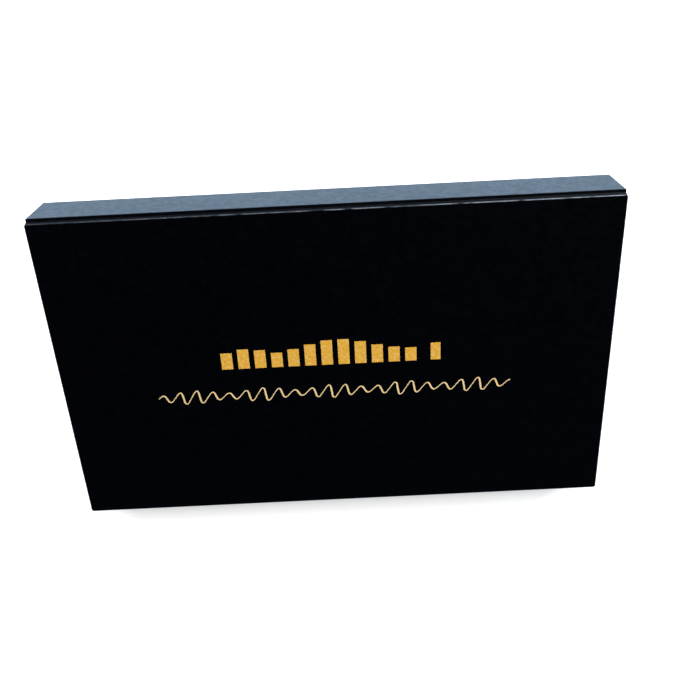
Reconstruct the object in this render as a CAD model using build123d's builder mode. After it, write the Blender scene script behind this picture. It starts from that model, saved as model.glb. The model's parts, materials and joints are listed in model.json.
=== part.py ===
"""Rigid presentation box of a handheld network analyzer, with the kit it holds.

The box lies on its base with the cover up. X runs along the spine, Y from the
flap (-Y) to the spine (+Y), Z up. The origin is at the centre of the underside.
"""

import os
from math import cos, exp, pi, sin, sqrt

from build123d import *

# ---- driving dimensions, millimetres ----
case_length = 250.0  # along X
case_depth = 152.0  # along Y, from the spine's face to the flap's face
case_height = 29.4  # along Z

board = 2.0  # greyboard thickness
paper = 0.25  # wrapping or lining paper with its glue
panel = board + 2 * paper  # finished panel
back_inset = 1.6  # cover and base edges lie this far inside the spine's face
front_inset = 2.2  # the cover's front edge lies this far inside the flap's face
hinge_gap = 0.3  # air between panels at a crease
turn_in = 15.0  # wrap folded over onto the inner side of cover and base
narrow_turn_in = 8.0  # the same on the spine and the flap
clearance = 0.3  # air between pieces that don't touch

fold_radius = 0.55  # outer edge of a wrapped panel
web_width = 0.7  # paper bridging the groove between base and spine
crease_width = 0.7  # paper folded over the two creases
crease_end = 1.0  # the bridging papers stop this far short of the ends
corner_radius = 1.0  # corner of the cover and of the base, seen from above
tray_wall = 2.0
tray_end_inset = 3.0  # tray wall inside the base's end edge
pad_thickness = 2.2
foam_base_thickness = 3.0
foam_top_thickness = 9.9

# ---- places that follow from them ----
half_x = case_length / 2
half_y = case_depth / 2
cover_back = half_y - back_inset
cover_front = front_inset - half_y
lid_low = case_height - panel
upright_low = panel + hinge_gap
upright_high = lid_low - hinge_gap
spine_in = half_y - panel
flap_in = -spine_in
flap_low = 0.6
front_edge = flap_in + clearance  # front of the base and of the tray
crease_z = lid_low - 0.1
lid_crease_y = cover_back + 1.1
flap_crease_y = flap_in - panel / 2

tray_half_x = half_x - tray_end_inset
inner_half_x = tray_half_x - tray_wall - 2 * paper
inner_front = front_edge + tray_wall + 2 * paper
inner_back = spine_in - tray_wall - 2 * paper

pad_low = lid_low - pad_thickness
foam_surface = pad_low - clearance
foam_top_low = foam_surface - foam_top_thickness
foam_middle_low = panel + foam_base_thickness

# ---- the analyzer ----
body_length = 134.0
body_width = 81.0
body_x = -35.0
body_y = -23.0
body_low = foam_middle_low
body_high = foam_surface - 0.4
body_corner = 6.0
body_wall = 2.0
shell_edge_radius = 1.6
seat_fit = 0.1  # gap on diameter or width around a seated piece
split_z = body_low + 7.3
glass_thickness = 1.0
glass_length = 112.0
glass_width = 67.0
module_length = 104.0
module_width = 61.0
module_thickness = 3.4
view_length = module_length - 2.0
view_width = module_width - 2.0
circuit_low = split_z - 0.8
circuit_thickness = 1.6
circuit_high = circuit_low + circuit_thickness
boss_x = 60.5
boss_y = 33.8
screw_radius = 1.2
west = body_x - body_length / 2
east = body_x + body_length / 2
north = body_y + body_width / 2
south = body_y - body_width / 2

port_offsets = (-23.0, 23.0)
thread_radius = 3.175
hex_flat = 8.0
bore_radius = 2.3  # mouth of a coaxial line
contact_radius = 0.65
mouth_depth = 2.0
barrel_length = 9.5
washer_radius = 4.9
washer_thickness = 0.6
power_x = body_x + 30.0
jog_x = body_x - 8.0
control_z = circuit_high + 2.0
power_travel = 2.0

# ---- loose pieces ----
standard_z = foam_surface - 4.9
standard_radius = 4.5
standard_y = -64.0
standard_caps = {"open_standard": (52.0, 9.0), "short_standard": (68.0, 9.0), "load_standard": (84.0, 11.0)}
adapter_x = 100.0
adapter_length = 15.0
adapter_flange = 3.0
pick_x, pick_y = 78.0, -18.0
pick_side, pick_base = 29.0, 25.0
pick_corner = 5.0

magnet_x = 70.0
magnet_z = 10.0
magnet_radius = 5.0
magnet_thickness = 1.5


def block(x_span, y_span, z_span, corner=0.0):
    """A box between the given limits, its upright corners rounded by `corner`."""
    with BuildPart() as piece:
        with BuildSketch(Plane.XY.offset(z_span[0])):
            with Locations((sum(x_span) / 2, sum(y_span) / 2)):
                if corner:
                    RectangleRounded(x_span[1] - x_span[0], y_span[1] - y_span[0], corner)
                else:
                    Rectangle(x_span[1] - x_span[0], y_span[1] - y_span[0])
        extrude(amount=z_span[1] - z_span[0])
    return piece.part


def panel_block(x_span, y_span, z_span, corner=0.0):
    """A wrapped panel's outside: a box whose edges are all rounded by the fold of the paper."""
    with BuildPart() as piece:
        add(block(x_span, y_span, z_span, corner))
        rims = piece.faces().sort_by(Axis.Z)
        if corner:
            fillet(rims[0].edges() + rims[-1].edges(), fold_radius)
        else:
            fillet(piece.edges(), fold_radius)
    return piece.part


def rod(x, y, z_span, radius):
    """An upright cylinder."""
    with BuildPart() as piece:
        with BuildSketch(Plane.XY.offset(z_span[0])):
            with Locations((x, y)):
                Circle(radius)
        extrude(amount=z_span[1] - z_span[0])
    return piece.part


def around(x, y, z, length, width, height):
    """A box about a point in plan, standing on z."""
    return block((x - length / 2, x + length / 2), (y - width / 2, y + width / 2), (z, z + height))


def inset(span, amount):
    """A span shortened by `amount` at both ends."""
    return (span[0] + amount, span[1] - amount)


def save(piece, name):
    """Label a finished piece and write it."""
    piece.label = name
    export_step(piece, f"parts/{name}.step")


os.makedirs("parts", exist_ok=True)

# =====================================================================
# base, spine and tray
# =====================================================================
base_x = (-half_x, half_x)
base_y = (front_edge, cover_back)
spine_x = (-half_x, half_x)
spine_y = (spine_in, half_y)
spine_z = (upright_low, upright_high)
lining_x = (-half_x + turn_in, half_x - turn_in)
spine_lining_z = inset(spine_z, narrow_turn_in)

board_corner = corner_radius - paper
with BuildPart() as base_board:
    add(block(inset(base_x, paper), inset(base_y, paper), (paper, panel - paper), board_corner))
save(base_board.part, "base_board")

with BuildPart() as spine_board:
    add(block(inset(spine_x, paper), inset(spine_y, paper), inset(spine_z, paper)))
save(spine_board.part, "spine_board")

# One sheet of wrap covers base and spine; a narrow web crosses the groove between them.
with BuildPart() as case_wrap:
    add(panel_block(base_x, base_y, (0, panel), corner_radius))
    add(base_board.part, mode=Mode.SUBTRACT)
    add(block(lining_x, inset(base_y, turn_in), (panel - paper, panel)), mode=Mode.SUBTRACT)
    add(panel_block(spine_x, spine_y, spine_z))
    add(spine_board.part, mode=Mode.SUBTRACT)
    add(block(lining_x, (spine_in, spine_in + paper), spine_lining_z), mode=Mode.SUBTRACT)
    web_y = (cover_back, cover_back + web_width)
    add(block(inset(spine_x, crease_end), web_y, (panel - 1.0, upright_low + 0.02)))
save(case_wrap.part, "case_wrap")

with BuildPart() as base_lining:
    add(block(lining_x, inset(base_y, turn_in), (panel - paper, panel)))
save(base_lining.part, "base_lining")

with BuildPart() as spine_lining:
    add(block(lining_x, (spine_in, spine_in + paper), spine_lining_z))
save(spine_lining.part, "spine_lining")

tray_x = (-tray_half_x, tray_half_x)
tray_y = (front_edge, spine_in)
inner_x = (-inner_half_x, inner_half_x)
inner_y = (inner_front, inner_back)
tray_z = (panel, upright_high)
core_z = (panel, upright_high - paper)

# Paper stays bind the four corners of the greyboard frame.
stay_reach = 12.0
stay_thickness = 0.2
stay_z = (panel + 2.0, upright_high - 2.0)
with BuildPart() as corner_stays:
    add(block(inset(tray_x, paper), inset(tray_y, paper), stay_z))
    add(block(inset(tray_x, paper + stay_thickness), inset(tray_y, paper + stay_thickness), stay_z),
        mode=Mode.SUBTRACT)
    add(block(inset(tray_x, paper + stay_reach), tray_y, stay_z), mode=Mode.SUBTRACT)
    add(block(tray_x, inset(tray_y, paper + stay_reach), stay_z), mode=Mode.SUBTRACT)
save(corner_stays.part, "corner_stays")

# Steel plates in the front wall, which the flap's magnets hold to.
plate_length, plate_height, plate_thickness = 20.0, 14.0, 0.8
plate_y = (front_edge + paper, front_edge + paper + plate_thickness)
plate_z = (magnet_z - plate_height / 2, magnet_z + plate_height / 2)
with BuildPart() as strike_plates:
    for x in (-magnet_x, magnet_x):
        add(block((x - plate_length / 2, x + plate_length / 2), plate_y, plate_z))
save(strike_plates.part, "strike_plates")

with BuildPart() as tray_walls:
    add(block(inset(tray_x, paper), inset(tray_y, paper), core_z))
    add(block(inset(inner_x, -paper), inset(inner_y, -paper), core_z), mode=Mode.SUBTRACT)
    add(corner_stays.part, mode=Mode.SUBTRACT)
    add(strike_plates.part, mode=Mode.SUBTRACT)
save(tray_walls.part, "tray_walls")

# The wrap of the tray runs up the outside, over the top edge and down inside.
with BuildPart() as tray_wrap:
    add(block(tray_x, tray_y, tray_z, fold_radius))
    add(block(inner_x, inner_y, tray_z), mode=Mode.SUBTRACT)
    with BuildSketch(Plane.XY.offset(panel)):
        with Locations((0, sum(tray_y) / 2)):
            Rectangle(2 * (tray_half_x - paper), tray_y[1] - tray_y[0] - 2 * paper)
        with Locations((0, sum(inner_y) / 2)):
            Rectangle(2 * (inner_half_x + paper), inner_y[1] - inner_y[0] + 2 * paper, mode=Mode.SUBTRACT)
    extrude(amount=core_z[1] - core_z[0], mode=Mode.SUBTRACT)
save(tray_wrap.part, "tray_wrap")

# =====================================================================
# foam bed
# =====================================================================
foam_x = inset(inner_x, clearance)
foam_y = inset(inner_y, clearance)
body_pocket_x = (west - 0.5, east + 0.5)
body_pocket_y = (south - 0.5, north + 0.5)
jack_pocket_x = (west - 14.0, west)
jack_pocket_y = (body_y - 31.0, body_y + 31.0)
control_notch_x = (jog_x - 24.0, power_x + 18.0)
control_notch_y = (north, north + 7.0)
lead_pocket_x = (-110.0, 35.0)
lead_pocket_y = (30.0, 65.0)
cable_pocket_x = (42.0, 113.0)
cable_pocket_y = (2.0, 65.0)
grip_notch_radius = 7.0
pocket_corner = 5.0
narrow_pocket_corner = 3.0
small_pocket_corner = 2.0
join_reach = 4.0  # half width of the passage between the body's pocket and the ports'


def cut_deep_pockets(low, high):
    """Cut the pockets that reach down to the bottom layer from the part being built."""
    span = (low, high)
    add(block(body_pocket_x, body_pocket_y, span, body_corner), mode=Mode.SUBTRACT)
    notch_y = (control_notch_y[0] - 2 * join_reach, control_notch_y[1])
    add(block(jack_pocket_x, jack_pocket_y, span, narrow_pocket_corner), mode=Mode.SUBTRACT)
    add(block((west - join_reach, west + join_reach), jack_pocket_y, span), mode=Mode.SUBTRACT)
    add(block(control_notch_x, notch_y, span, narrow_pocket_corner), mode=Mode.SUBTRACT)
    add(block(lead_pocket_x, lead_pocket_y, span, pocket_corner), mode=Mode.SUBTRACT)
    add(block(cable_pocket_x, cable_pocket_y, span, pocket_corner), mode=Mode.SUBTRACT)


with BuildPart() as foam_base:
    add(block(foam_x, foam_y, (panel, foam_middle_low)))
save(foam_base.part, "foam_base")

with BuildPart() as foam_middle:
    add(block(foam_x, foam_y, (foam_middle_low, foam_top_low)))
    cut_deep_pockets(foam_middle_low, foam_top_low)
save(foam_middle.part, "foam_middle")

standard_pocket_width = 10.8
standard_pocket_length = 21.0
adapter_pocket_width = 9.4


def pick_outline(grow=0.0):
    """Sketch the stylus pick: a triangle with round corners, its point towards the flap."""
    with BuildSketch() as outline:
        with Locations((pick_x, pick_y)):
            Triangle(a=pick_side, b=pick_side, c=pick_base, rotation=180, align=(Align.CENTER, Align.CENTER))
        fillet(outline.vertices(), pick_corner)
        if grow:
            offset(amount=grow)
    return outline.sketch


pick_thickness = 0.9
with BuildPart() as foam_top:
    add(block(foam_x, foam_y, (foam_top_low, foam_surface)))
    cut_deep_pockets(foam_top_low, foam_surface)
    # half-round finger notch at the front edge of the analyzer's pocket
    add(rod(body_x, south, (foam_top_low, foam_surface), grip_notch_radius), mode=Mode.SUBTRACT)
    for x, _ in standard_caps.values():
        pocket_x = (x - standard_pocket_width / 2, x + standard_pocket_width / 2)
        pocket_y = (standard_y - 0.5, standard_y + standard_pocket_length)
        add(block(pocket_x, pocket_y, (foam_top_low, foam_surface), small_pocket_corner), mode=Mode.SUBTRACT)
    adapter_pocket_x = (adapter_x - adapter_pocket_width / 2, adapter_x + adapter_pocket_width / 2)
    adapter_pocket_y = (standard_y - 0.5, standard_y + adapter_length + 0.5)
    add(block(adapter_pocket_x, adapter_pocket_y, (foam_top_low, foam_surface), small_pocket_corner),
        mode=Mode.SUBTRACT)
    with BuildSketch(Plane.XY.offset(foam_surface)):
        add(pick_outline(grow=0.6))
    extrude(amount=-(pick_thickness + 0.6), mode=Mode.SUBTRACT)
save(foam_top.part, "foam_top")

# =====================================================================
# analyzer: shells
# =====================================================================
body_span_x = (west, east)
body_span_y = (south, north)
inside_x = inset(body_span_x, body_wall)
inside_y = inset(body_span_y, body_wall)
inside_corner = body_corner - body_wall
boss_places = [(body_x + i * boss_x, body_y + j * boss_y) for i in (-1, 1) for j in (-1, 1)]
floor_high = body_low + body_wall
roof_low = body_high - body_wall
front_boss_radius = 3.2
insert_radius = 1.9
insert_z = (circuit_high, circuit_high + 4.5)
head_radius = 2.2
head_high = body_low + 1.9
port_places = [body_y + offset_y for offset_y in port_offsets]
jack_hole_radius = 3.35

power_slot_x = (power_x - power_travel - 2.3, power_x + 2.3)
power_slot_z = (control_z - 1.2, control_z + 1.2)
jog_slot_x = (jog_x - 2.6, jog_x + 2.6)
jog_slot_z = (control_z - 1.3, control_z + 1.3)
usb_half_width, usb_height, usb_depth = 4.5, 3.2, 7.3
pipe_places = [(body_x + 60.5, body_y + step) for step in (12.0, 18.0)]
pipe_radius = 1.0


def jack_holes():
    """Rods along X through the west wall, on the axes of the two ports."""
    with BuildPart() as holes:
        with BuildSketch(Plane.YZ.offset(west - 1.0)):
            with Locations(*[(y, split_z) for y in port_places]):
                Circle(jack_hole_radius)
        extrude(amount=body_wall + 2.0)
    return holes.part


with BuildPart() as back_shell:
    add(block(body_span_x, body_span_y, (body_low, split_z), body_corner))
    fillet(back_shell.faces().sort_by(Axis.Z)[0].edges(), shell_edge_radius)
    add(block(inside_x, inside_y, (floor_high, split_z), inside_corner), mode=Mode.SUBTRACT)
    for x, y in boss_places:
        add(rod(x, y, (floor_high - 0.1, circuit_low), front_boss_radius))
    for x, y in boss_places:
        add(rod(x, y, (body_low - 1.0, circuit_low), screw_radius + 0.1), mode=Mode.SUBTRACT)
        add(rod(x, y, (body_low - 1.0, head_high), head_radius + 0.15), mode=Mode.SUBTRACT)
    add(jack_holes(), mode=Mode.SUBTRACT)
save(back_shell.part, "back_shell")

glass_z = (body_high - glass_thickness, body_high)
with BuildPart() as front_shell:
    add(block(body_span_x, body_span_y, (split_z, body_high), body_corner))
    fillet(front_shell.faces().sort_by(Axis.Z)[-1].edges(), shell_edge_radius)
    add(block(inside_x, inside_y, (split_z, roof_low), inside_corner), mode=Mode.SUBTRACT)
    for x, y in boss_places:
        add(rod(x, y, (circuit_high, roof_low + 0.1), front_boss_radius))
    for x, y in boss_places:
        add(rod(x, y, insert_z, insert_radius), mode=Mode.SUBTRACT)
        add(rod(x, y, (insert_z[1], insert_z[1] + 1.5), screw_radius + 0.1), mode=Mode.SUBTRACT)
    # seat of the glass and the opening behind it
    seat = (glass_length + seat_fit, glass_width + seat_fit, 2.0)
    add(around(body_x, body_y, glass_z[0], *seat), mode=Mode.SUBTRACT)
    add(around(body_x, body_y, roof_low - 1.0, view_length, view_width, 5.0), mode=Mode.SUBTRACT)
    add(jack_holes(), mode=Mode.SUBTRACT)
    for x, y in pipe_places:
        add(rod(x, y, (roof_low - 1.0, body_high + 1.0), pipe_radius), mode=Mode.SUBTRACT)
    wall_y = (north - body_wall - 0.5, north + 1.0)
    add(block(power_slot_x, wall_y, power_slot_z), mode=Mode.SUBTRACT)
    add(block(jog_slot_x, wall_y, jog_slot_z), mode=Mode.SUBTRACT)
    usb_wall_x = (east - body_wall - 0.5, east + 1.0)
    usb_wall_y = (body_y - usb_half_width - 0.1, body_y + usb_half_width + 0.1)
    usb_wall_z = (circuit_high - 0.1, circuit_high + usb_height + 0.1)
    add(block(usb_wall_x, usb_wall_y, usb_wall_z), mode=Mode.SUBTRACT)
save(front_shell.part, "front_shell")

with BuildPart() as display_window:
    add(around(body_x, body_y, glass_z[0], glass_length, glass_width, glass_thickness))
    fillet(display_window.edges().filter_by(Axis.Z), 0.4)
save(display_window.part, "display_window")

module_top = roof_low - 0.05
with BuildPart() as display_module:
    add(around(body_x, body_y, module_top - module_thickness, module_length, module_width, module_thickness))
save(display_module.part, "display_module")

# =====================================================================
# analyzer: electronics
# =====================================================================
circuit_x = inset(inside_x, 1.0)
circuit_y = inset(inside_y, 1.0)
jack_block_length = 5.0
jack_block_half = 3.2
jack_block_x = (west + body_wall + 0.2, west + body_wall + 0.2 + jack_block_length)

with BuildPart() as main_board:
    add(block(circuit_x, circuit_y, (circuit_low, circuit_high), 2.0))
    for x, y in boss_places:
        add(rod(x, y, (circuit_low, circuit_high), screw_radius + 0.2), mode=Mode.SUBTRACT)
    for y in port_places:
        notch_y = (y - jack_block_half - 0.1, y + jack_block_half + 0.1)
        add(block((circuit_x[0] - 1.0, jack_block_x[1] + 0.1), notch_y, (circuit_low, circuit_high)),
            mode=Mode.SUBTRACT)
save(main_board.part, "main_board")

can_height = 2.2
can_size = (24.0, 17.0)
with BuildPart() as shield_cans:
    for y in port_places:
        add(around(west + 26.0, y, circuit_high, can_size[0], can_size[1], can_height))
    add(around(body_x - 8.0, body_y, circuit_high, 20.0, 20.0, can_height))
save(shield_cans.part, "shield_cans")

chip_height = 1.2
chip_places = [
    (16.0, -14.0, 12.0), (16.0, 6.0, 10.0), (34.0, -12.0, 7.0), (34.0, 4.0, 6.0), (46.0, -18.0, 5.0),
]
with BuildPart() as board_chips:
    for x, y, size in chip_places:
        add(around(body_x + x, body_y + y, circuit_high, size, size, chip_height))
save(board_chips.part, "board_chips")

battery_z = (floor_high + 0.2, circuit_low - 0.2)
with BuildPart() as battery:
    add(block((body_x - 22.0, body_x + 40.0), (body_y - 22.0, body_y + 22.0), battery_z))
    fillet(battery.edges().filter_by(Axis.X), 1.0)
save(battery.part, "battery")

# Coaxial ports: a square block on the board's edge, a threaded barrel through the wall.
barrel_end = west - barrel_length
with BuildPart() as port_jacks:
    for y in port_places:
        add(block(jack_block_x, (y - jack_block_half, y + jack_block_half),
                  (split_z - jack_block_half, split_z + jack_block_half)))
        with BuildSketch(Plane.YZ.offset(barrel_end)):
            with Locations((y, split_z)):
                Circle(thread_radius)
        extrude(amount=jack_block_x[0] - barrel_end)
        # mouth of the line: a ring-shaped gap around the centre contact
        with BuildSketch(Plane.YZ.offset(barrel_end)):
            with Locations((y, split_z)):
                Circle(bore_radius)
                Circle(contact_radius, mode=Mode.SUBTRACT)
        extrude(amount=mouth_depth, mode=Mode.SUBTRACT)
save(port_jacks.part, "port_jacks")

washer_x = (west - washer_thickness, west)
with BuildPart() as jack_washers:
    with BuildSketch(Plane.YZ.offset(washer_x[0])):
        with Locations(*[(y, split_z) for y in port_places]):
            Circle(washer_radius)
            Circle(thread_radius, mode=Mode.SUBTRACT)
    extrude(amount=washer_thickness)
save(jack_washers.part, "jack_washers")

nut_thickness = 2.2
with BuildPart() as jack_nuts:
    with BuildSketch(Plane.YZ.offset(washer_x[0] - nut_thickness)):
        with Locations(*[(y, split_z) for y in port_places]):
            RegularPolygon(hex_flat / 2, 6, major_radius=False)
            Circle(thread_radius, mode=Mode.SUBTRACT)
    extrude(amount=nut_thickness)
save(jack_nuts.part, "jack_nuts")

usb_x = (east - 0.2 - usb_depth, east - 0.2)
with BuildPart() as usb_socket:
    with BuildSketch(Plane.YZ.offset(usb_x[0])):
        with Locations((body_y, circuit_high + usb_height / 2)):
            SlotOverall(2 * usb_half_width, usb_height)
    extrude(amount=usb_depth)
    with BuildSketch(Plane.YZ.offset(usb_x[1])):
        with Locations((body_y, circuit_high + usb_height / 2)):
            SlotOverall(2 * usb_half_width - 0.6, usb_height - 0.6)
            SlotOverall(2 * usb_half_width - 2.3, 0.7, mode=Mode.SUBTRACT)
    extrude(amount=-5.5, mode=Mode.SUBTRACT)
save(usb_socket.part, "usb_socket")

with BuildPart() as power_switch_body:
    add(block((power_x - 6.0, power_x + 4.0), (north - 8.0, north - 3.0), (circuit_high, circuit_high + 3.6)))
save(power_switch_body.part, "power_switch_body")

with BuildPart() as jog_switch_body:
    add(block((jog_x - 5.0, jog_x + 5.0), (north - 9.5, north - 5.5), (circuit_high, circuit_high + 3.8)))
save(jog_switch_body.part, "jog_switch_body")

screw_length = 10.0
head_thickness = 1.5
socket_radius = 1.1
socket_depth = 0.9
head_low = head_high - head_thickness
with BuildPart() as shell_screws:
    for x, y in boss_places:
        add(rod(x, y, (head_low, head_high), head_radius))
        add(rod(x, y, (head_high, head_high + screw_length), screw_radius))
        with BuildSketch(Plane.XY.offset(head_low)):
            with Locations((x, y)):
                RegularPolygon(socket_radius, 6)
        extrude(amount=socket_depth, mode=Mode.SUBTRACT)
save(shell_screws.part, "shell_screws")

with BuildPart() as brass_inserts:
    for x, y in boss_places:
        add(rod(x, y, insert_z, insert_radius))
        add(rod(x, y, insert_z, screw_radius), mode=Mode.SUBTRACT)
save(brass_inserts.part, "brass_inserts")

# Two light pipes carry the status lamps from the board to the rim beside the glass.
with BuildPart() as light_pipes:
    for x, y in pipe_places:
        add(rod(x, y, (circuit_high + 0.6, body_high - 0.1), pipe_radius))
save(light_pipes.part, "light_pipes")

# =====================================================================
# analyzer: controls that move
# =====================================================================
knob_y = north - body_wall - clearance
with BuildPart() as power_knob:
    add(block((power_x - 3.4, power_x + 3.4), (knob_y - 0.5, knob_y), inset(power_slot_z, -0.4)))
    stem_x = inset((power_x - 2.3, power_x + 2.3), clearance)
    add(block(stem_x, (knob_y, north + 1.0), inset(power_slot_z, clearance)))
save(power_knob.part, "power_knob")

pivot_y = north - 3.4
pivot_radius = 0.8
carriage_z = (circuit_high + clearance, circuit_high + clearance + 0.4)
lever_z = (carriage_z[1] + clearance, carriage_z[1] + clearance + 2.0)
with BuildPart() as jog_carriage:
    add(block((jog_x - 3.0, jog_x + 3.0), (pivot_y - 1.2, pivot_y + 1.0), carriage_z))
    add(rod(jog_x, pivot_y, (carriage_z[0], lever_z[1] + 0.2), pivot_radius))
save(jog_carriage.part, "jog_carriage")

with BuildPart() as jog_lever:
    add(block((jog_x - 1.5, jog_x + 1.5), (pivot_y - 1.2, north + 1.2), lever_z))
    fillet(jog_lever.faces().sort_by(Axis.Y)[-1].edges().filter_by(Axis.Z), 0.9)
    add(rod(jog_x, pivot_y, lever_z, pivot_radius + 0.05), mode=Mode.SUBTRACT)
save(jog_lever.part, "jog_lever")

# =====================================================================
# loose pieces in the foam
# =====================================================================
neck_radius = 2.6
nut_length = 6.6
nut_wall = 1.0
cap_chamfer = 0.5
ring_width = 0.5
ring_height = 0.25
sleeve_reach = 3.2
pin_reach = 4.6
pin_radius = 0.45


def coax_standard(x, cap_length):
    """The fixed part of a coaxial standard: cap, neck, snap ring, sleeve and centre pin."""
    cap_end = standard_y + cap_length
    ring_y = cap_end + clearance + nut_wall + 0.4
    with BuildPart() as standard:
        with BuildSketch(Plane.YZ.offset(x)):
            with BuildLine():
                Polyline(
                    (standard_y, standard_z),
                    (standard_y, standard_z + standard_radius - cap_chamfer),
                    (standard_y + cap_chamfer, standard_z + standard_radius),
                    (cap_end, standard_z + standard_radius),
                    (cap_end, standard_z + neck_radius),
                    (ring_y, standard_z + neck_radius),
                    (ring_y, standard_z + neck_radius + ring_height),
                    (ring_y + ring_width, standard_z + neck_radius + ring_height),
                    (ring_y + ring_width, standard_z + bore_radius),
                    (ring_y + sleeve_reach, standard_z + bore_radius),
                    (ring_y + sleeve_reach, standard_z + pin_radius),
                    (ring_y + pin_reach, standard_z + pin_radius),
                    (ring_y + pin_reach, standard_z),
                    close=True,
                )
            make_face()
        revolve(axis=Axis((x, 0, standard_z), (0, 1, 0)))
    return standard.part


def coupling_nut(x, cap_length):
    """Captive hexagon nut: its rear wall runs on the standard's neck."""
    low = standard_y + cap_length + clearance
    lying = Plane(origin=(x, low, standard_z), x_dir=(1, 0, 0), z_dir=(0, 1, 0))
    with BuildPart() as nut:
        with BuildSketch(lying):
            RegularPolygon(hex_flat / 2, 6, major_radius=False)
            Circle(neck_radius + 0.05, mode=Mode.SUBTRACT)
        extrude(amount=nut_length)
        with BuildSketch(lying.offset(nut_wall)):
            Circle(thread_radius)
        extrude(amount=nut_length, mode=Mode.SUBTRACT)
    return nut.part


for name, (x, cap_length) in standard_caps.items():
    save(coax_standard(x, cap_length), name)
    save(coupling_nut(x, cap_length), name.replace("standard", "nut"))

adapter_z = foam_top_low + hex_flat / 2 + 0.2
adapter_plane = Plane(origin=(adapter_x, standard_y, adapter_z), x_dir=(1, 0, 0), z_dir=(0, 1, 0))
with BuildPart() as through_adapter:
    with BuildSketch(adapter_plane):
        Circle(thread_radius)
    extrude(amount=adapter_length)
    with BuildSketch(adapter_plane.offset((adapter_length - adapter_flange) / 2)):
        RegularPolygon(hex_flat / 2, 6, major_radius=False)
    extrude(amount=adapter_flange)
    for offset_y in (0.0, adapter_length - mouth_depth):
        with BuildSketch(adapter_plane.offset(offset_y)):
            Circle(bore_radius)
            Circle(contact_radius, mode=Mode.SUBTRACT)
        extrude(amount=mouth_depth, mode=Mode.SUBTRACT)
save(through_adapter.part, "through_adapter")

pick_low = foam_surface - pick_thickness - 0.5
with BuildPart() as stylus_pick:
    with BuildSketch(Plane.XY.offset(pick_low)):
        add(pick_outline())
        with Locations((pick_x, pick_y + 6.0)):
            Circle(1.6, mode=Mode.SUBTRACT)
    extrude(amount=pick_thickness)
save(stylus_pick.part, "stylus_pick")

# =====================================================================
# cover
# =====================================================================
lid_x = (-half_x, half_x)
lid_y = (cover_front, cover_back)
lid_z = (lid_low, case_height)
lid_lining_y = inset(lid_y, turn_in)
foil_depth = 0.12
foil_thickness = 0.1
foil_z = case_height - foil_depth

bar_pitch = 7.55
bar_width = 5.1
bar_count = 12
bar_low = 2.2
bars_start = -48.6
bars_peak = 6.6
least_bar = 6.4
full_bar = 12.6
end_bar = (45.6, 4.4, 8.6)


def bar_height(index):
    """Height of one bar: a resonance curve over the row, with a second smaller hump."""
    main = exp(-(((index - bars_peak) / 2.6) ** 2))
    side = 0.55 * exp(-(((index - 1.2) / 1.5) ** 2))
    return least_bar + (full_bar - least_bar) * max(main, side)


def bars_outline():
    """Sketch the row of bars and the short bar that ends it."""
    with BuildSketch() as outline:
        for index in range(bar_count):
            height = bar_height(index)
            with Locations((bars_start + index * bar_pitch, bar_low + height / 2)):
                Rectangle(bar_width, height)
        x, width, height = end_bar
        with Locations((x, bar_low + height / 2)):
            Rectangle(width, height)
    return outline.sketch


wave_start, wave_end = -82.0, 79.5
wave_centre_y = -11.6
wave_period = 7.6
wave_points = 215
mean_stroke, stroke_change = 0.62, 0.2
slant = 0.25
packet_length = 32.3
least_swing, added_swing = 1.5, 1.9


def wave_point(x, side):
    """A point half a stroke off the wave's centre line, above it or below it as `side` is 1 or -1.

    The line is a slanting sine that swells in packets; its stroke is widest on the way down, as a pen's is.
    """
    swing = least_swing + added_swing * (0.5 - 0.5 * cos(2 * pi * (x - wave_start) / packet_length))
    phase = 2 * pi * (x - wave_start) / wave_period
    rise = swing * sin(phase)
    slope = swing * cos(phase) * 2 * pi / wave_period
    along = 1 + slant * slope
    reach = side * (mean_stroke - stroke_change * cos(phase)) / 2 / sqrt(along**2 + slope**2)
    return (x + slant * rise - slope * reach, wave_centre_y + rise + along * reach)


def wave_outline():
    """Sketch the wave as a ribbon between two curves, one stroke apart."""
    step = (wave_end - wave_start) / wave_points
    xs = [wave_start + step * i for i in range(wave_points + 1)]
    with BuildSketch() as outline:
        with BuildLine():
            upper = Spline(*[wave_point(x, 1) for x in xs])
            lower = Spline(*[wave_point(x, -1) for x in xs])
            Line(upper @ 0, lower @ 0)
            Line(upper @ 1, lower @ 1)
        make_face()
    return outline.sketch


with BuildPart() as lid_board:
    add(block(inset(lid_x, paper), inset(lid_y, paper), inset(lid_z, paper), board_corner))
save(lid_board.part, "lid_board")

with BuildPart() as lid_wrap:
    add(panel_block(lid_x, lid_y, lid_z, corner_radius))
    add(lid_board.part, mode=Mode.SUBTRACT)
    add(block(lining_x, lid_lining_y, (lid_low, lid_low + paper)), mode=Mode.SUBTRACT)
    with BuildSketch(Plane.XY.offset(foil_z)):
        add(bars_outline())
        add(wave_outline())
    extrude(amount=foil_depth, mode=Mode.SUBTRACT)
save(lid_wrap.part, "lid_wrap")

with BuildPart() as lid_lining:
    add(block(lining_x, lid_lining_y, (lid_low, lid_low + paper)))
save(lid_lining.part, "lid_lining")

with BuildPart() as lid_pad:
    add(block(inset(inner_x, 1.0), inset(inner_y, 1.0), (pad_low, lid_low), 1.0))
save(lid_pad.part, "lid_pad")

with BuildPart() as foil_bars:
    with BuildSketch(Plane.XY.offset(foil_z)):
        add(bars_outline())
    extrude(amount=foil_thickness)
save(foil_bars.part, "foil_bars")

with BuildPart() as foil_wave:
    with BuildSketch(Plane.XY.offset(foil_z)):
        add(wave_outline())
    extrude(amount=foil_thickness)
save(foil_wave.part, "foil_wave")

# =====================================================================
# flap
# =====================================================================
flap_x = (-half_x, half_x)
flap_y = (-half_y, flap_in)
flap_z = (flap_low, upright_high)
flap_lining_z = inset(flap_z, narrow_turn_in)


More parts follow.
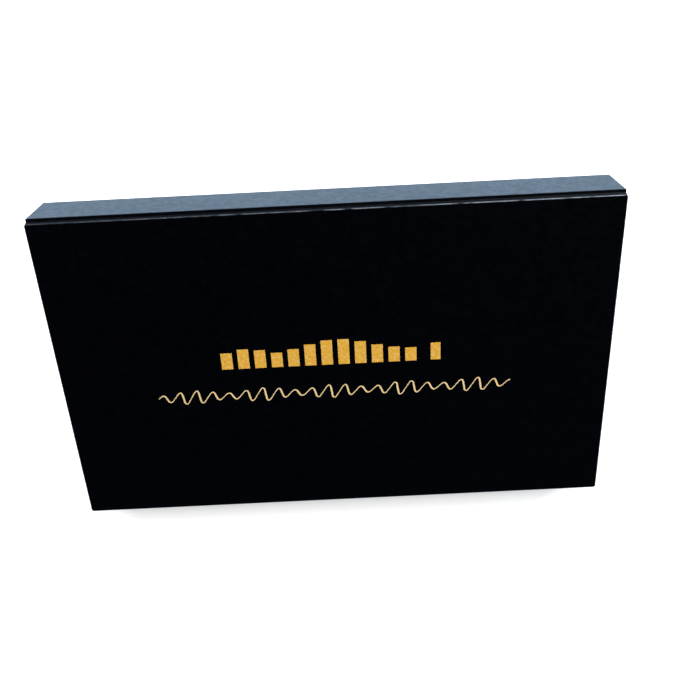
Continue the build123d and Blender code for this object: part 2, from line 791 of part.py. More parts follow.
def magnet_disc(x):
    """One disc magnet, lying across the middle of the flap's board."""
    with BuildPart() as disc:
        with BuildSketch(Plane.XZ.offset(-flap_crease_y - magnet_thickness / 2)):
            with Locations((x, magnet_z)):
                Circle(magnet_radius)
        extrude(amount=magnet_thickness)
    return disc.part


with BuildPart() as flap_magnets:
    for x in (-magnet_x, magnet_x):
        add(magnet_disc(x))
save(flap_magnets.part, "flap_magnets")

with BuildPart() as flap_board:
    add(block(inset(flap_x, paper), inset(flap_y, paper), inset(flap_z, paper)))
    add(flap_magnets.part, mode=Mode.SUBTRACT)
save(flap_board.part, "flap_board")

with BuildPart() as flap_wrap:
    add(panel_block(flap_x, flap_y, flap_z))
    add(block(inset(flap_x, paper), inset(flap_y, paper), inset(flap_z, paper)), mode=Mode.SUBTRACT)
    add(block(lining_x, (flap_in - paper, flap_in), flap_lining_z), mode=Mode.SUBTRACT)
save(flap_wrap.part, "flap_wrap")

with BuildPart() as flap_lining:
    add(block(lining_x, (flap_in - paper, flap_in), flap_lining_z))
save(flap_lining.part, "flap_lining")

# =====================================================================
# folded strips of wrap on the two creases
# =====================================================================
crease_half = crease_width / 2
with BuildPart() as lid_crease:
    add(block(inset(spine_x, crease_end), (lid_crease_y - crease_half, lid_crease_y + crease_half),
              (upright_high, crease_z + 0.15)))
save(lid_crease.part, "lid_crease")

with BuildPart() as flap_crease:
    add(block(inset(flap_x, crease_end), (flap_crease_y - crease_half, flap_crease_y + crease_half),
              (upright_high, crease_z)))
save(flap_crease.part, "flap_crease")
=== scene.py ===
"""Black presentation box of a handheld network analyzer: its looks, over the CAD frame.

The box lies on its base, spine towards +Y, flap towards -Y. Lengths are in metres.
"""

import json
import logging
import random
from dataclasses import dataclass
from enum import Enum
from math import radians, sin
from typing import Callable, Sequence, Union

import bmesh
import bpy
from mathutils import Matrix, Vector


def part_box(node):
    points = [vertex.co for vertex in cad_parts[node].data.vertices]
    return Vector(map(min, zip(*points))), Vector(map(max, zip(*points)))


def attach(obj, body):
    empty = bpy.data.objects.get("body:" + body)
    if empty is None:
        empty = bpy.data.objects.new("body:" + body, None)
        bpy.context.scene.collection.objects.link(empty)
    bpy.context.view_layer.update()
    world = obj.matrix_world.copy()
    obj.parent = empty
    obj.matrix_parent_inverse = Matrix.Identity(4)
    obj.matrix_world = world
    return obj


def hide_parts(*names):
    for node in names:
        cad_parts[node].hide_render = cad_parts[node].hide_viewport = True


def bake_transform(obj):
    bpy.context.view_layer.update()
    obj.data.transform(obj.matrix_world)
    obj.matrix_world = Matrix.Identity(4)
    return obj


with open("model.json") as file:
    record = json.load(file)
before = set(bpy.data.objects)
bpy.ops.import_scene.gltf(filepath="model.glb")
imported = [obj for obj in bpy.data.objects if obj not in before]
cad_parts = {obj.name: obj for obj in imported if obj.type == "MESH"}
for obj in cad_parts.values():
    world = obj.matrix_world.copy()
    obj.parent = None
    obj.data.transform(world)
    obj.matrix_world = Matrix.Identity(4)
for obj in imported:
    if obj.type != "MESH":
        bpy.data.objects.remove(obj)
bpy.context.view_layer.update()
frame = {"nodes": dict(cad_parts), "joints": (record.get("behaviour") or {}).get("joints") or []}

MM = 0.001
SEED = 7

log = logging.getLogger("box")
Node = bpy.types.Node
Socket = bpy.types.NodeSocket
Piece = bpy.types.Object
Value = Union[float, Sequence[float], Socket]
Span = tuple[float, float]
Triple = tuple[float, float, float]
Colour = tuple[float, float, float]

FLOAT = "NodeSocketFloat"
WHOLE: Span = (0.0, 1.0)
EVEN: Triple = (1.0, 1.0, 1.0)


# ---------------------------------------------------------------------------
# node trees
# ---------------------------------------------------------------------------
class Tree:
    """Adds nodes to a shader tree and links them."""

    def __init__(self, tree: bpy.types.NodeTree) -> None:
        """Work on `tree`."""
        self.tree = tree

    def feed(self, socket: Socket, value: Value) -> None:
        """Link `value` to a socket, or store it there if it is a constant.

        Args:
            socket: the input socket.
            value: another node's output, or a constant.
        """
        if isinstance(value, Socket):
            self.tree.links.new(value, socket)
        else:
            socket.default_value = value

    def add(self, kind: str, **values: object) -> Node:
        """Add a node.

        Args:
            kind: the node's type.
            values: properties in lower case, and inputs by their own names with _ for a space.

        Returns:
            The new node.
        """
        node = self.tree.nodes.new(kind)
        for name, value in values.items():
            if name[0].islower():
                setattr(node, name, value)
            else:
                self.feed(node.inputs[name.replace("_", " ")], value)
        return node

    def math(self, operation: str, a: Value, b: Value = 0.0) -> Socket:
        """Combine two values with one operation.

        Args:
            operation: the Math node's operation.
            a: the first value.
            b: the second value.

        Returns:
            The result's socket.
        """
        node = self.add("ShaderNodeMath", operation=operation)
        self.feed(node.inputs[0], a)
        self.feed(node.inputs[1], b)
        return node.outputs[0]

    def spread(self, value: Value, span: Span, to: Span = WHOLE) -> Socket:
        """Stretch a value from one span to another, clamped.

        Args:
            value: the value.
            span: the value's own first and last.
            to: what they become.

        Returns:
            The result's socket.
        """
        node = self.add("ShaderNodeMapRange", Value=value,
                        From_Min=span[0], From_Max=span[1], To_Min=to[0], To_Max=to[1])
        return node.outputs[0]

    def blend(self, factor: Value, a: Value, b: Value) -> Socket:
        """Mix two colours.

        Args:
            factor: 0 for the first colour, 1 for the second.
            a: the first colour, with alpha.
            b: the second colour, with alpha.

        Returns:
            The result's socket.
        """
        node = self.add("ShaderNodeMix", data_type="RGBA")
        self.feed(node.inputs[0], factor)
        self.feed(node.inputs[6], a)
        self.feed(node.inputs[7], b)
        return node.outputs[2]

    def place(self, stretch: Sequence[float] = EVEN) -> Socket:
        """The piece's own coordinates in metres, scaled per axis by `stretch`."""
        spot = self.add("ShaderNodeTexCoord").outputs["Object"]
        return self.add("ShaderNodeMapping", Vector=spot, Scale=stretch).outputs[0]

    def noise(self, scale: Value, detail: float = 3.0, stretch: Sequence[float] = EVEN) -> Socket:
        """Noise with `scale` features a metre, finer with `detail`, squeezed per axis by `stretch`."""
        node = self.add("ShaderNodeTexNoise", Vector=self.place(stretch), Scale=scale, Detail=detail)
        return node.outputs[0]

    def effect(self, group: bpy.types.NodeTree, **values: float) -> Node:
        """Place a node group, with its inputs by name in `values`."""
        return self.add("ShaderNodeGroup", node_tree=group, **values)


def make_group(name: str, inputs: dict[str, float], outputs: dict[str, str],
               fill: Callable[[Tree, Node, Node], None]) -> bpy.types.NodeTree:
    """Make a shader node group.

    Args:
        name: the group's name.
        inputs: float inputs with their first values.
        outputs: outputs with their socket kinds.
        fill: adds the nodes between the group's input and output nodes.

    Returns:
        The node tree.
    """
    tree = bpy.data.node_groups.new(name, "ShaderNodeTree")
    for label, value in inputs.items():
        socket = tree.interface.new_socket(label, in_out="INPUT", socket_type=FLOAT)
        socket.default_value = value
    for label, kind in outputs.items():
        tree.interface.new_socket(label, in_out="OUTPUT", socket_type=kind)
    worker = Tree(tree)
    fill(worker, worker.add("NodeGroupInput"), worker.add("NodeGroupOutput"))
    return tree


@dataclass(frozen=True)
class FibreEffect:
    """Fibres and mottle of paper or board: a tone in slow patches and a fine height."""

    patch_scale: float = 0.3
    strand_scale: float = 0.7
    strand_stretch: Triple = (1.0, 5.0, 5.0)
    fine_share: float = 0.5
    patch_share: float = 0.35
    strand_share: float = 0.15
    tone: Span = (0.7, 1.3)

    def nodes(self, t: Tree, into: Node, out: Node) -> None:
        """Fill the group.

        Args:
            t: the group's tree.
            into: its input node.
            out: its output node.
        """
        scale = into.outputs["Scale"]
        fine = t.noise(scale, detail=4.0)
        patch = t.noise(t.math("MULTIPLY", scale, self.patch_scale), detail=3.0)
        strand_size = t.math("MULTIPLY", scale, self.strand_scale)
        strand = t.noise(strand_size, detail=2.0, stretch=self.strand_stretch)
        height = t.math("ADD", t.math("MULTIPLY", fine, self.fine_share),
                        t.math("MULTIPLY", patch, self.patch_share))
        t.feed(out.inputs["Height"], t.math("ADD", height, t.math("MULTIPLY", strand, self.strand_share)))
        t.feed(out.inputs["Tone"], t.spread(t.math("ADD", patch, fine), self.tone))


@dataclass(frozen=True)
class EdgeEffect:
    """A mask that is 1 on rounded edges, where the normal leaves the axes, broken up into spots: wear, and
    on the wrap paper a painted highlight as well.
    """

    turned: Span = (0.985, 0.85)
    spots: Span = (0.36, 0.62)

    def nodes(self, t: Tree, into: Node, out: Node) -> None:
        """Fill the group.

        Args:
            t: the group's tree.
            into: its input node.
            out: its output node.
        """
        normal = t.add("ShaderNodeTexCoord").outputs["Normal"]
        size = t.add("ShaderNodeVectorMath", operation="ABSOLUTE")
        t.feed(size.inputs[0], normal)
        parts = t.add("ShaderNodeSeparateXYZ", Vector=size.outputs[0]).outputs
        largest = t.math("MAXIMUM", t.math("MAXIMUM", parts[0], parts[1]), parts[2])
        edge = t.spread(largest, self.turned)
        spots = t.spread(t.noise(into.outputs["Scale"], detail=4.0), self.spots)
        t.feed(out.inputs["Mask"], t.math("MULTIPLY", edge, spots))


@dataclass(frozen=True)
class SpeckEffect:
    """Round pores or specks: a mask in the middle of each cell and the cell's own tone."""

    middle: Span = (0.42, 0.12)

    def nodes(self, t: Tree, into: Node, out: Node) -> None:
        """Fill the group.

        Args:
            t: the group's tree.
            into: its input node.
            out: its output node.
        """
        cells = t.add("ShaderNodeTexVoronoi", Vector=t.place(), Scale=into.outputs["Scale"])
        t.feed(out.inputs["Mask"], t.spread(cells.outputs["Distance"], self.middle))
        tone = t.add("ShaderNodeSeparateColor", Color=cells.outputs["Color"]).outputs[0]
        t.feed(out.inputs["Tone"], tone)


@dataclass(frozen=True)
class WearEffect:
    """Faint handling marks: smudges, and hairlines in two directions."""

    smudges: Span = (0.4, 0.75)
    long_scale: float = 90.0
    long_stretch: Triple = (1.0, 40.0, 4.0)
    long_lines: Span = (0.66, 0.72)
    cross_scale: float = 110.0
    cross_stretch: Triple = (45.0, 1.0, 4.0)
    cross_lines: Span = (0.68, 0.73)

    def nodes(self, t: Tree, into: Node, out: Node) -> None:
        """Fill the group.

        Args:
            t: the group's tree.
            into: its input node.
            out: its output node.
        """
        smudge = t.spread(t.noise(into.outputs["Scale"], detail=4.0), self.smudges)
        along = t.spread(t.noise(self.long_scale, 2.0, self.long_stretch), self.long_lines)
        across = t.spread(t.noise(self.cross_scale, 2.0, self.cross_stretch), self.cross_lines)
        t.feed(out.inputs["Smudge"], smudge)
        t.feed(out.inputs["Hairline"], t.math("MAXIMUM", along, across))


@dataclass(frozen=True)
class Effects:
    """The node groups that several finishes share."""

    fibre: bpy.types.NodeTree
    edge: bpy.types.NodeTree
    speck: bpy.types.NodeTree
    wear: bpy.types.NodeTree

    @classmethod
    def make(cls) -> "Effects":
        """Make every group once.

        Returns:
            The groups.
        """
        tone, height, mask = {"Tone": FLOAT}, {"Height": FLOAT}, {"Mask": FLOAT}
        marks = {"Smudge": FLOAT, "Hairline": FLOAT}
        return cls(
            fibre=make_group("fibre", {"Scale": 1200.0}, tone | height, FibreEffect().nodes),
            edge=make_group("edge", {"Scale": 220.0}, mask, EdgeEffect().nodes),
            speck=make_group("speck", {"Scale": 2000.0}, mask | tone, SpeckEffect().nodes),
            wear=make_group("wear", {"Scale": 60.0}, marks, WearEffect().nodes),
        )


EFFECTS = Effects.make()


# ---------------------------------------------------------------------------
# finishes
# ---------------------------------------------------------------------------
def solid(colour: Colour) -> tuple[float, float, float, float]:
    """The colour with full alpha."""
    return (*colour, 1.0)


def around(middle: float, reach: Span) -> Span:
    """The span that reaches from `middle` by the two given steps."""
    return (middle + reach[0], middle + reach[1])


@dataclass(frozen=True)
class Finish:
    """A material: constants of its shader, and a pattern that subclasses add."""

    name: str
    colour: Colour
    roughness: float = 0.5
    metallic: float = 0.0

    def material(self) -> bpy.types.Material:
        """Make the material at its first use.

        Returns:
            The finish's material.
        """
        name = f"{self.name}_finish"
        found = bpy.data.materials.get(name)
        if found:
            return found
        made = bpy.data.materials.new(name)
        made.use_nodes = True
        made.node_tree.nodes.clear()
        t = Tree(made.node_tree)
        shader = t.add("ShaderNodeBsdfPrincipled", Roughness=self.roughness, Metallic=self.metallic)
        shader.inputs["Base Color"].default_value = solid(self.colour)
        t.add("ShaderNodeOutputMaterial", Surface=shader.outputs[0])
        self.pattern(t, shader)
        return made

    def pattern(self, t: Tree, shader: Node) -> None:
        """Add what varies over the surface.

        Args:
            t: the material's tree.
            shader: its Principled shader.
        """
        raise NotImplementedError

    def bump(self, t: Tree, shader: Node, height: Value, depth: float) -> None:
        """Raise the surface by up to `depth` metres where `height` is 1."""
        node = t.add("ShaderNodeBump", Height=height, Distance=depth)
        t.feed(shader.inputs["Normal"], node.outputs[0])

    def tint(self, t: Tree, shader: Node, factor: Value, other: Colour) -> None:
        """Turn the base colour towards `other` where `factor` is 1."""
        mixed = t.blend(factor, solid(self.colour), solid(other))
        t.feed(shader.inputs["Base Color"], mixed)


@dataclass(frozen=True)
class WrapPaper(Finish):
    """Dyed wrapping paper glued over board: mottled, a little glossy, with pale wear spots and a painted
    highlight on its rounded edges.
    """

    grain: float = 1300.0
    mottle: float = 2.2
    # Pale colour of the rounded edges: wear spots, with a painted highlight on top.
    wear_and_highlight: Colour = (0.15, 0.162, 0.18)
    depth: float = 0.00004
    # Painted highlight: the span of X over which the pale edge colour grows, and its share at each end.
    highlight_x_span: Span = (-0.13, 0.13)
    wear_and_highlight_share: Span = (0.06, 0.95)
    gloss: Span = (-0.05, 0.09)
    wave_scale: float = 26.0
    wave_height: float = 2.5
    mirror: float = 0.3

    def pattern(self, t: Tree, shader: Node) -> None:
        """Mottle in colour, gloss and height, and pale edges: wear spots with a painted highlight that grows
        along +X.

        Args:
            t: the material's tree.
            shader: its Principled shader.
        """
        fibre = t.effect(EFFECTS.fibre, Scale=self.grain)
        edge = t.effect(EFFECTS.edge)
        lighter = tuple(self.mottle * c for c in self.colour)
        body = t.blend(fibre.outputs["Tone"], solid(self.colour), solid(lighter))
        # Painted highlight: the pale edge colour grows from left to right along +X, like light on the
        # rounded edges; the spots are wear.
        along = t.add("ShaderNodeSeparateXYZ", Vector=t.place()).outputs[0]
        wear_and_highlight_mask = t.math("MULTIPLY", edge.outputs["Mask"], t.spread(along, self.highlight_x_span, self.wear_and_highlight_share))
        t.feed(shader.inputs["Base Color"], t.blend(wear_and_highlight_mask, body, solid(self.wear_and_highlight)))
        gloss = t.spread(fibre.outputs["Tone"], WHOLE, around(self.roughness, self.gloss))
        t.feed(shader.inputs["Roughness"], gloss)
        wave = t.math("MULTIPLY", t.noise(self.wave_scale, detail=2.0), self.wave_height)
        self.bump(t, shader, t.math("ADD", fibre.outputs["Height"], wave), self.depth)
        shader.inputs["Specular IOR Level"].default_value = self.mirror


@dataclass(frozen=True)
class Fibre(Finish):
    """Uncoated paper, tape or greyboard."""

    other: Colour = (0.1, 0.1, 0.1)
    other_share: float = 0.6
    grain: float = 900.0
    fleck_scale: float = 0.6
    depth: float = 0.00008

    def pattern(self, t: Tree, shader: Node) -> None:
        """Fibres, and flecks of another shade.

        Args:
            t: the material's tree.
            shader: its Principled shader.
        """
        fibre = t.effect(EFFECTS.fibre, Scale=self.grain)
        speck = t.effect(EFFECTS.speck, Scale=self.grain * self.fleck_scale)
        flecks = t.math("MULTIPLY", speck.outputs["Mask"], speck.outputs["Tone"])
        shade = t.math("ADD", fibre.outputs["Tone"], flecks)
        self.tint(t, shader, t.math("MULTIPLY", shade, self.other_share), self.other)
        self.bump(t, shader, fibre.outputs["Height"], self.depth)


@dataclass(frozen=True)
class Foam(Finish):
    """Closed-cell foam: fine pores, with a few larger ones."""

    cells: float = 2300.0
    small_share: float = 0.6
    large_scale: float = 0.28
    rare: Span = (0.7, 0.9)
    patch_scale: float = 190.0
    patches: Span = (0.3, 0.7)
    patch_tone: Span = (0.45, 0.75)
    other: Colour = (0.026, 0.026, 0.028)
    sheen: float = 0.15
    sheen_roughness: float = 0.5
    depth: float = 0.00012

    def pattern(self, t: Tree, shader: Node) -> None:
        """Pores in two sizes, lighter cell walls, and a soft sheen.

        Args:
            t: the material's tree.
            shader: its Principled shader.
        """
        small = t.effect(EFFECTS.speck, Scale=self.cells)
        large = t.effect(EFFECTS.speck, Scale=self.cells * self.large_scale)
        rare = t.math("MULTIPLY", large.outputs["Mask"], t.spread(large.outputs["Tone"], self.rare))
        pores = t.math("MAXIMUM", t.math("MULTIPLY", small.outputs["Mask"], self.small_share), rare)
        patches = t.spread(t.noise(self.patch_scale, detail=5.0), self.patches, self.patch_tone)
        walls = t.math("SUBTRACT", 1.0, pores)
        self.tint(t, shader, t.math("MULTIPLY", walls, patches), self.other)
        shader.inputs["Sheen Weight"].default_value = self.sheen
        shader.inputs["Sheen Roughness"].default_value = self.sheen_roughness
        self.bump(t, shader, walls, self.depth)


@dataclass(frozen=True)
class Foil(Finish):
    """Hot-stamped metal foil: it follows the paper's grain and breaks up in a few thin spots."""

    grain: float = 1800.0
    thin: Colour = (0.42, 0.22, 0.03)
    thin_where: Span = (0.46, 0.36)
    thin_share: Span = (0.0, 0.6)
    pale: Colour = (1.0, 0.76, 0.36)
    pale_scale: float = 750.0
    pale_where: Span = (0.45, 0.72)
    pale_share: Span = (0.0, 0.5)
    gloss: Span = (-0.08, 0.08)
    depth: float = 0.00004

    def pattern(self, t: Tree, shader: Node) -> None:
        """Grain of the paper under the foil, pale and thin spots, and a fine crinkle.

        Args:
            t: the material's tree.
            shader: its Principled shader.
        """
        fibre = t.effect(EFFECTS.fibre, Scale=self.grain)
        pale = t.spread(t.noise(self.pale_scale, detail=4.0), self.pale_where, self.pale_share)
        body = t.blend(pale, solid(self.colour), solid(self.pale))
        thin = t.spread(fibre.outputs["Height"], self.thin_where, self.thin_share)
        t.feed(shader.inputs["Base Color"], t.blend(thin, body, solid(self.thin)))
        gloss = t.spread(fibre.outputs["Tone"], WHOLE, around(self.roughness, self.gloss))
        t.feed(shader.inputs["Roughness"], gloss)
        self.bump(t, shader, fibre.outputs["Height"], self.depth)


@dataclass(frozen=True)
class MouldedPlastic(Finish):
    """Moulded plastic with a spark-eroded texture and faint handling marks."""

    grain: float = 5200.0
    grain_tone: Span = (0.35, 0.7)
    depth: float = 0.000018
    shine: float = 0.12
    lighter: float = 1.9
    lift: float = 0.004
    lighter_share: float = 0.5

    def pattern(self, t: Tree, shader: Node) -> None:
        """Texture, smudges in the gloss and edges polished by handling.

        Args:
            t: the material's tree.
            shader: its Principled shader.
        """
        texture = t.noise(self.grain, detail=2.0)
        wear = t.effect(EFFECTS.wear)
        edge = t.effect(EFFECTS.edge)
        touched = t.math("MAXIMUM", wear.outputs["Smudge"], edge.outputs["Mask"])
        polished = t.math("MULTIPLY", touched, self.shine)
        t.feed(shader.inputs["Roughness"], t.math("SUBTRACT", self.roughness, polished))
        raised = t.math("MULTIPLY", t.spread(texture, self.grain_tone), self.lighter_share)
        self.tint(t, shader, raised, tuple(self.lighter * c + self.lift for c in self.colour))
        self.bump(t, shader, texture, self.depth)


@dataclass(frozen=True)
class Lens(Finish):
    """Black glass over a display: a clear field inside a printed border."""

    field_low: Triple = (0.0, 0.0, 0.0)
    field_high: Triple = (0.0, 0.0, 0.0)
    field: Colour = (0.010, 0.012, 0.016)
    blur: float = 0.0001
    smudge_share: float = 0.10
    hairline_share: float = 0.12
    wave_scale: float = 35.0
    depth: float = 0.000004

    def pattern(self, t: Tree, shader: Node) -> None:
        """The display's field, fingerprints and hairlines.

        Args:
            t: the material's tree.
            shader: its Principled shader.
        """
        spot = t.add("ShaderNodeSeparateXYZ", Vector=t.place())
        inside: Value = 1.0
        for axis in (0, 1):
            low, high = self.field_low[axis], self.field_high[axis]
            past = t.spread(spot.outputs[axis], (low - self.blur, low + self.blur))
            before = t.spread(spot.outputs[axis], (high + self.blur, high - self.blur))
            inside = t.math("MULTIPLY", inside, t.math("MULTIPLY", past, before))
        self.tint(t, shader, inside, self.field)
        wear = t.effect(EFFECTS.wear)
        marks = t.math("ADD", t.math("MULTIPLY", wear.outputs["Smudge"], self.smudge_share),
                       t.math("MULTIPLY", wear.outputs["Hairline"], self.hairline_share))
        t.feed(shader.inputs["Roughness"], t.math("ADD", marks, self.roughness))
        self.bump(t, shader, t.noise(self.wave_scale, detail=1.0), self.depth)


@dataclass(frozen=True)
class Metal(Finish):
    """Plated, turned or stamped metal with hairlines and dull spots."""

    metallic: float = 1.0
    dull: Colour = (0.3, 0.28, 0.25)
    dull_share: float = 0.45
    smudge_scale: float = 160.0
    smudge_share: float = 0.16
    hairline_share: float = 0.15
    lines: float = 2600.0
    line_stretch: Triple = (1.0, 0.08, 1.0)
    depth: float = 0.000012

    def pattern(self, t: Tree, shader: Node) -> None:
        """Tool lines, tarnish in slow patches and varied gloss.

        Args:
            t: the material's tree.
            shader: its Principled shader.
        """
        turned = t.noise(self.lines, detail=2.0, stretch=self.line_stretch)
        wear = t.effect(EFFECTS.wear, Scale=self.smudge_scale)
        smudge, hairline = wear.outputs["Smudge"], wear.outputs["Hairline"]
        self.tint(t, shader, t.math("MULTIPLY", smudge, self.dull_share), self.dull)
        gloss = t.math("ADD", t.math("MULTIPLY", smudge, self.smudge_share), self.roughness)
        scratched = t.math("MULTIPLY", hairline, self.hairline_share)
        t.feed(shader.inputs["Roughness"], t.math("ADD", gloss, scratched))
        self.bump(t, shader, turned, self.depth)


@dataclass(frozen=True)
class Circuit(Finish):
    """Circuit board: solder mask over copper tracks, with tinned pads."""

    copper: Colour = (0.05, 0.22, 0.07)
    track_scale: float = 260.0
    track_where: Span = (0.5, 0.56)
    tin: Colour = (0.6, 0.58, 0.5)
    pad_scale: float = 420.0
    pad_middle: Span = (0.8, 0.95)
    pad_cells: Span = (0.6, 0.7)
    depth: float = 0.00003

    def pattern(self, t: Tree, shader: Node) -> None:
        """Tracks as the edges of large cells, and pads in the middle of small ones.

        Args:
            t: the material's tree.
            shader: its Principled shader.
        """
        tracks = t.add("ShaderNodeTexVoronoi", Vector=t.place(), Scale=self.track_scale,
                       distance="MANHATTAN")
        track = t.spread(tracks.outputs["Distance"], self.track_where)
        pads = t.effect(EFFECTS.speck, Scale=self.pad_scale)
        pad = t.math("MULTIPLY", t.spread(pads.outputs["Mask"], self.pad_middle),
                     t.spread(pads.outputs["Tone"], self.pad_cells))
        mask = t.blend(track, solid(self.colour), solid(self.copper))
        t.feed(shader.inputs["Base Color"], t.blend(pad, mask, solid(self.tin)))
        t.feed(shader.inputs["Metallic"], pad)
        self.bump(t, shader, t.math("MAXIMUM", track, pad), self.depth)


class Looks(Enum):
    """Every finish of the object."""

    WRAP = WrapPaper("black_wrap", (0.00012, 0.0002, 0.0006), roughness=0.40)
    FOLD = WrapPaper("folded_wrap", (0.00012, 0.0002, 0.0006), roughness=0.46, wear_and_highlight=(0.002, 0.002, 0.003))
    LINING = Fibre("black_lining", (0.006, 0.006, 0.007),
                   roughness=0.85, other=(0.016, 0.016, 0.018), grain=1500.0)
    BOARD = Fibre("greyboard", (0.22, 0.20, 0.17), roughness=0.95, other=(0.36, 0.33, 0.29))
    TAPE = Fibre("gummed_tape", (0.42, 0.30, 0.16), roughness=0.8, other=(0.55, 0.43, 0.27))
    FOAM = Foam("black_foam", (0.008, 0.008, 0.009), roughness=0.95)
    FOIL = Foil("gold_foil", (0.84, 0.43, 0.04), roughness=0.42, metallic=0.3)
    FINE_FOIL = Foil("fine_foil", (1.0, 0.72, 0.34),
                     roughness=0.38, metallic=0.3, thin=(0.62, 0.4, 0.12), pale=(1.0, 0.85, 0.62))
    SHELL = MouldedPlastic("shell_plastic", (0.012, 0.013, 0.015), roughness=0.56)
    KEY = MouldedPlastic("key_plastic", (0.05, 0.052, 0.056), roughness=0.5)
    SWITCH = MouldedPlastic("switch_plastic", (0.015, 0.015, 0.015), roughness=0.4, depth=0.000008)
    CHIP = MouldedPlastic("chip_epoxy", (0.012, 0.012, 0.013), roughness=0.6, depth=0.00001)
    CELL = MouldedPlastic("cell_pouch", (0.28, 0.30, 0.33),
                          roughness=0.35, metallic=0.7, grain=900.0, depth=0.00004)
    PICK = MouldedPlastic("pick_celluloid", (0.006, 0.05, 0.09),
                          roughness=0.25, grain=300.0, depth=0.000004)
    MODULE = MouldedPlastic("display_module", (0.05, 0.05, 0.055), roughness=0.3, depth=0.000004)
    PIPE = MouldedPlastic("light_pipe", (0.65, 0.68, 0.68), roughness=0.15, depth=0.000003)
    INK = MouldedPlastic("white_ink", (0.55, 0.56, 0.57), roughness=0.6, grain=2500.0, depth=0.000006)
    BOARD_GREEN = Circuit("circuit", (0.008, 0.06, 0.025), roughness=0.3)
    TIN = Metal("tinned_steel", (0.62, 0.62, 0.60), roughness=0.28, dull=(0.4, 0.39, 0.36))
    STEEL = Metal("plain_steel", (0.50, 0.51, 0.52), roughness=0.34)
    NICKEL = Metal("nickel", (0.62, 0.60, 0.55), roughness=0.22)
    PASSIVE = Metal("passivated_steel", (0.66, 0.66, 0.64), roughness=0.24, dull=(0.42, 0.41, 0.38))
    GOLD = Metal("gold_plate", (0.87, 0.62, 0.25), roughness=0.22, dull=(0.55, 0.36, 0.12))
    BRASS = Metal("plain_brass", (0.70, 0.52, 0.22), roughness=0.3, dull=(0.35, 0.24, 0.1))


CAD_LOOKS: dict[Looks, tuple[str, ...]] = {
    Looks.WRAP: ("case_wrap", "tray_wrap", "lid_wrap", "flap_wrap"),
    Looks.LINING: ("base_lining", "spine_lining", "lid_lining", "flap_lining"),
    Looks.BOARD: ("base_board", "spine_board", "tray_walls", "lid_board", "flap_board"),
    Looks.TAPE: ("corner_stays",),
    Looks.FOIL: ("foil_bars",),
    Looks.FINE_FOIL: ("foil_wave",),
    Looks.SHELL: ("back_shell", "front_shell"),
    Looks.KEY: ("power_knob", "jog_lever"),
    Looks.SWITCH: ("power_switch_body", "jog_switch_body", "jog_carriage"),
    Looks.CHIP: ("board_chips",),
    Looks.CELL: ("battery",),
    Looks.PICK: ("stylus_pick",),
    Looks.MODULE: ("display_module",),
    Looks.PIPE: ("light_pipes",),
    Looks.BOARD_GREEN: ("main_board",),
    Looks.TIN: ("shield_cans", "usb_socket"),
    Looks.STEEL: ("strike_plates", "shell_screws"),
    Looks.NICKEL: ("flap_magnets",),
    Looks.PASSIVE: ("open_standard", "short_standard", "load_standard", "open_nut", "short_nut", "load_nut"),
    Looks.GOLD: ("port_jacks", "jack_nuts", "jack_washers", "through_adapter"),
    Looks.BRASS: ("brass_inserts",),
}


def paint(piece: Piece, finish: Finish) -> None:
    """Give a piece one finish in all its material slots.

    Args:
        piece: the piece.
        finish: its finish.
    """
    material = finish.material()
    if not piece.material_slots:
        piece.data.materials.append(material)
    for place in piece.material_slots:
        place.material = material


# ---------------------------------------------------------------------------
# mesh helpers
# ---------------------------------------------------------------------------
WELD = 1e-6  # points nearer than this are one
FLAT_TURN = radians(0.5)  # faces that turn less than this are merged
SHARP_TURN = radians(50)  # edges that turn more than this are rounded
RIPPLE_STEP = 0.61  # turn of a paper's slow ripple from one station to the next


def new_piece(name: str, mesh: bpy.types.Mesh) -> Piece:
    """Put a mesh in the scene as a named piece.

    Args:
        name: the piece's name.
        mesh: its mesh.

    Returns:
        The piece.
    """
    piece = bpy.data.objects.new(name, mesh)
    bpy.context.scene.collection.objects.link(piece)
    log.info("made %s", name)
    return piece


def mesh_from(bm: bmesh.types.BMesh, name: str) -> bpy.types.Mesh:
    """Write a bmesh to a new mesh and free it.

    Args:
        bm: the bmesh.
        name: the mesh's name.

    Returns:
        The mesh.
    """
    bmesh.ops.recalc_face_normals(bm, faces=bm.faces)
    mesh = bpy.data.meshes.new(name)
    bm.to_mesh(mesh)
    bm.free()
    return mesh


def smooth_by_angle(mesh: bpy.types.Mesh, angle: float = 35.0) -> None:
    """Shade smooth, with edges sharper than `angle` degrees kept crisp."""
    mesh.shade_smooth()
    mesh.set_sharp_from_angle(angle=radians(angle))


def smooth_by_area(mesh: bpy.types.Mesh) -> None:
    """Shade smooth with normals weighted by area, so that flat faces stay flat up to their rounding.

    Args:
        mesh: the mesh.
    """
    normals = [Vector((0.0, 0.0, 0.0)) for _ in mesh.vertices]
    for face in mesh.polygons:
        for vertex in face.vertices:
            normals[vertex] += face.normal * face.area
    mesh.shade_smooth()
    mesh.normals_split_custom_set_from_vertices([tuple(n.normalized()) for n in normals])


def slab(name: str, low: Vector, high: Vector, radius: float) -> Piece:
    """A thin box between two corners with all its edges rounded.

    Args:
        name: the piece's name.
        low: its lowest corner.
        high: its highest corner.
        radius: radius of its edges.

    Returns:
        The piece, not riding on anything yet.
    """
    bm = bmesh.new()
    bmesh.ops.create_cube(bm, size=1.0)
    size = high - low
    for vert in bm.verts:
        vert.co = Vector(((vert.co[i] + 0.5) * size[i] + low[i]) for i in range(3))
    bmesh.ops.bevel(bm, geom=bm.edges[:], offset=radius, segments=3, profile=0.5, affect="EDGES")
    mesh = mesh_from(bm, name)
    smooth_by_angle(mesh)
    return new_piece(name, mesh)


